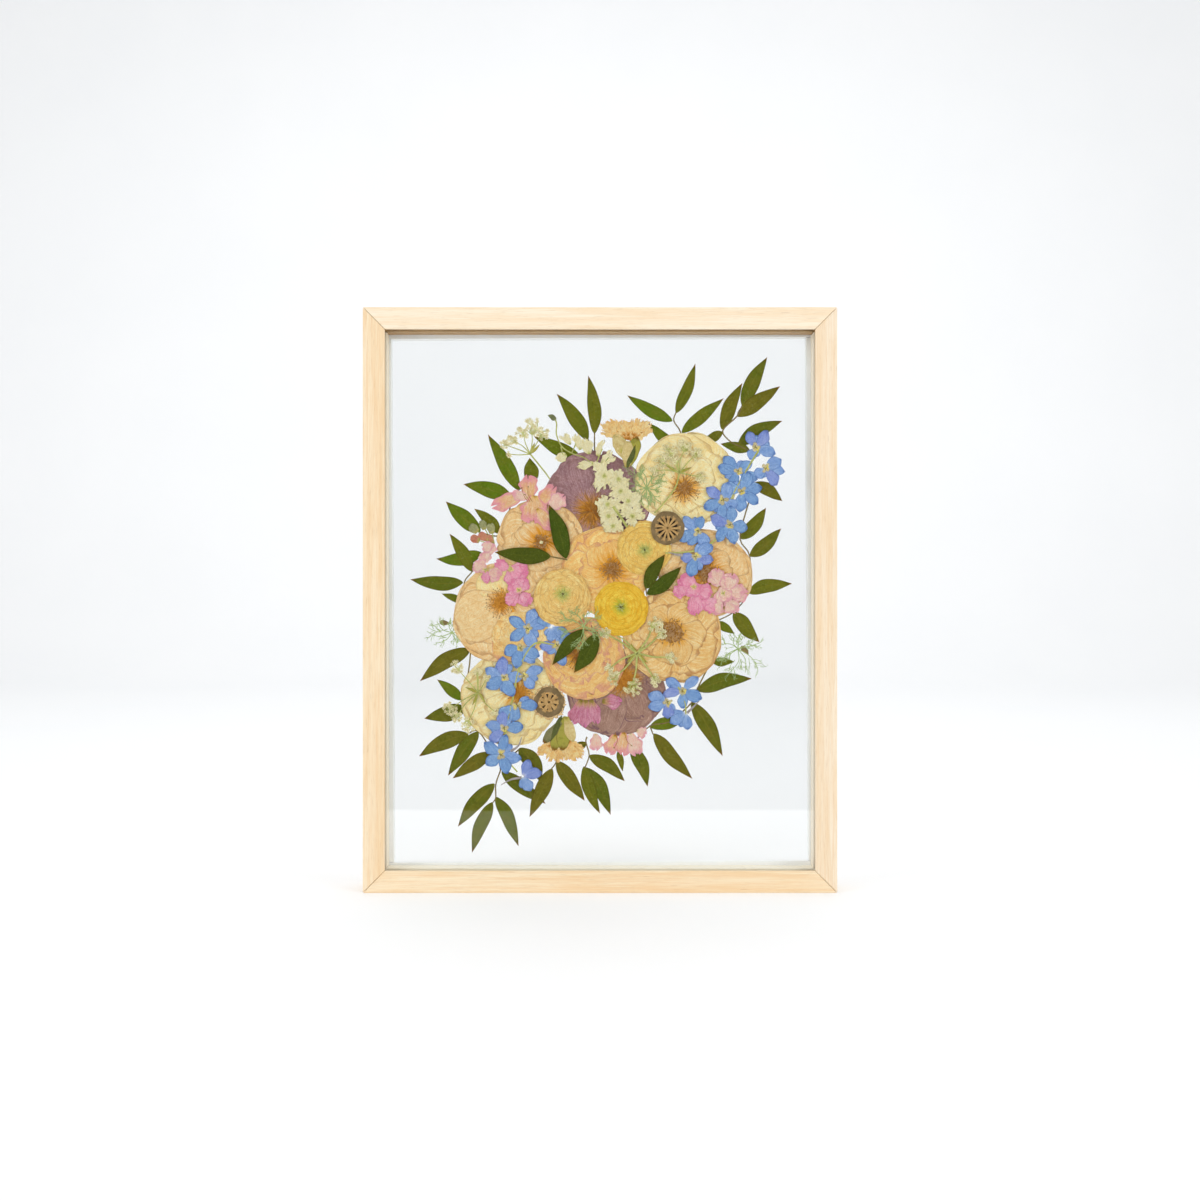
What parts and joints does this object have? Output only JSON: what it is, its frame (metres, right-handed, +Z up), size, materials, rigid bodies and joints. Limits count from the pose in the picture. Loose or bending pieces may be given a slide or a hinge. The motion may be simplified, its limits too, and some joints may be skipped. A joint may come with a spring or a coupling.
{
  "type": "pressed flower frame",
  "caption": "Upright light wood picture frame with a bouquet of pressed flowers and leaves held between two panes of clear glass.",
  "frame": {"origin": "middle of the frame's foot: centre of the bottom face of the bottom rail", "axes": "+Z up along the frame's height, +X to the right seen from the front, the front with the lip faces -Y"},
  "size_m": [0.4336, 0.035, 0.5353],
  "materials": {
    "natural_wood": "light natural wood, fine straight grain, satin",
    "pale_strip": "thin pale greenish-white paint, matt",
    "clear_glass": "clear polished glass",
    "ruscus_leaf": "pressed leaf, satin",
    "umbel_stem": "dried stem, matt",
    "seed_head": "dried pod, matt",
    "blue_petal": "pressed petal, veined, matt",
    "pink_petal": "pressed petal, veined, matt",
    "blush_petal": "pressed petal, veined, matt",
    "orange_petal": "pressed petal, crumpled, matt",
    "mauve_petal": "pressed petal, creased, matt",
    "yellow_petal": "pressed petal, matt",
    "white_petal": "pressed petal, matt",
    "cream_petal": "pressed petal, creased, matt",
    "tan_petal": "pressed petal, creased, matt"
  },
  "bodies": {
    "root": {"alstroemeria_pale": "blush_petal", "alstroemeria_pink": "pink_petal", "alstroemeria_upper": "blush_petal", "bud_cluster": "seed_head", "carnation_bottom": "orange_petal", "carnation_top": "orange_petal", "delphinium_lower_left": "blue_petal", "delphinium_lower_right": "blue_petal", "delphinium_upper_right": "blue_petal", "fillet_bottom": "natural_wood", "fillet_left": "natural_wood", "fillet_right": "natural_wood", "fillet_top": "natural_wood", "glass_back": "clear_glass", "glass_front": "clear_glass", "larkspur_white": "white_petal", "pink_cluster_left": "pink_petal", "pink_cluster_right": "pink_petal", "rail_bottom": "natural_wood", "rail_left": "natural_wood", "rail_right": "natural_wood", "rail_top": "natural_wood", "ranunculus_cream": "cream_petal", "ranunculus_tan": "tan_petal", "ranunculus_yellow": "yellow_petal", "rose_cream_lower": "cream_petal", "rose_cream_upper": "cream_petal", "rose_golden": "tan_petal", "rose_mauve_lower": "mauve_petal", "rose_mauve_top": "mauve_petal", "rose_orange": "orange_petal", "rose_peach_centre": "tan_petal", "rose_peach_lower": "tan_petal", "rose_tan_left": "tan_petal", "rose_tan_right": "tan_petal", "rose_tan_upper": "tan_petal", "ruscus_bottom": "ruscus_leaf", "ruscus_bottom_centre": "ruscus_leaf", "ruscus_bottom_left": "ruscus_leaf", "ruscus_left": "ruscus_leaf", "ruscus_lower_left": "ruscus_leaf", "ruscus_lower_right": "ruscus_leaf", "ruscus_pair_lower": "ruscus_leaf", "ruscus_pair_right": "ruscus_leaf", "ruscus_pair_upper": "ruscus_leaf", "ruscus_right": "ruscus_leaf", "ruscus_top": "ruscus_leaf", "ruscus_top_right": "ruscus_leaf", "ruscus_upper_left": "ruscus_leaf", "ruscus_upper_right": "ruscus_leaf", "seed_head_lower": "seed_head", "seed_head_upper": "seed_head", "strip_bottom": "pale_strip", "strip_left": "pale_strip", "strip_right": "pale_strip", "strip_top": "pale_strip", "umbel_centre": "umbel_stem", "umbel_left": "umbel_stem", "umbel_top_left": "umbel_stem", "umbel_top_right": "umbel_stem"}
  },
  "joints": []
}
